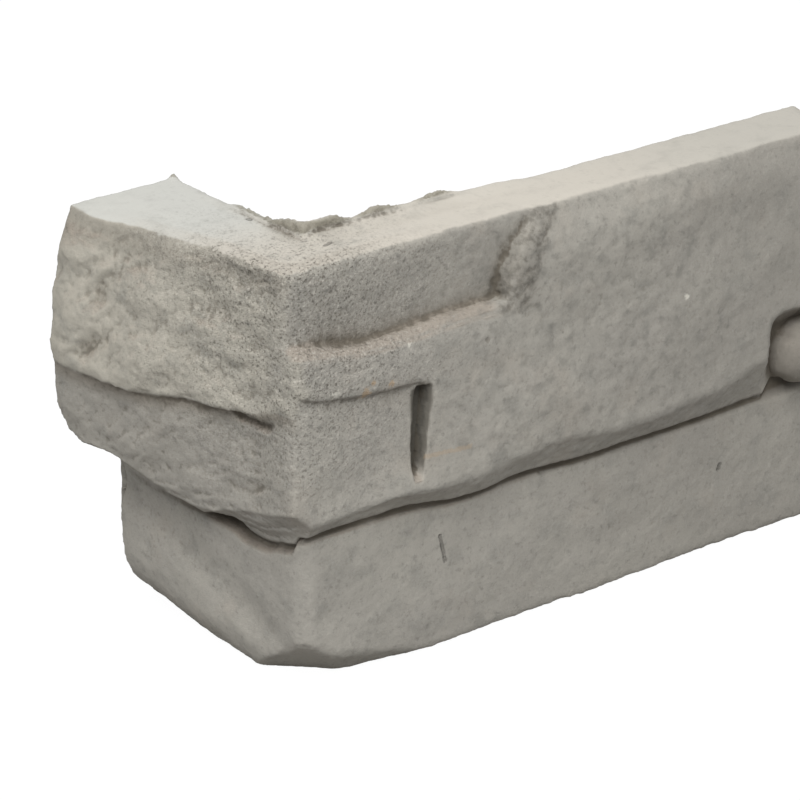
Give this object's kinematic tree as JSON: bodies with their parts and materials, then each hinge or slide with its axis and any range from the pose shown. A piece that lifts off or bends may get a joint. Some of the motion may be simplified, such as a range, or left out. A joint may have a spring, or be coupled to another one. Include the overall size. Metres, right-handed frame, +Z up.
{
  "type": "stone cladding corner piece",
  "caption": "Cast stone cladding corner piece: grey split stone courses in relief on an L-shaped block that wraps an outside corner of a wall.",
  "frame": {"origin": "foot of the inner upright arris, where the wall's own outside corner goes", "axes": "+X along the long leg, +Y along the short leg, +Z up from the bed"},
  "size_m": [0.1808, 0.0698, 0.1032],
  "materials": {
    "cast_stone": "rough"
  },
  "bodies": {
    "root": {"stone_corner": "cast_stone"}
  },
  "joints": []
}
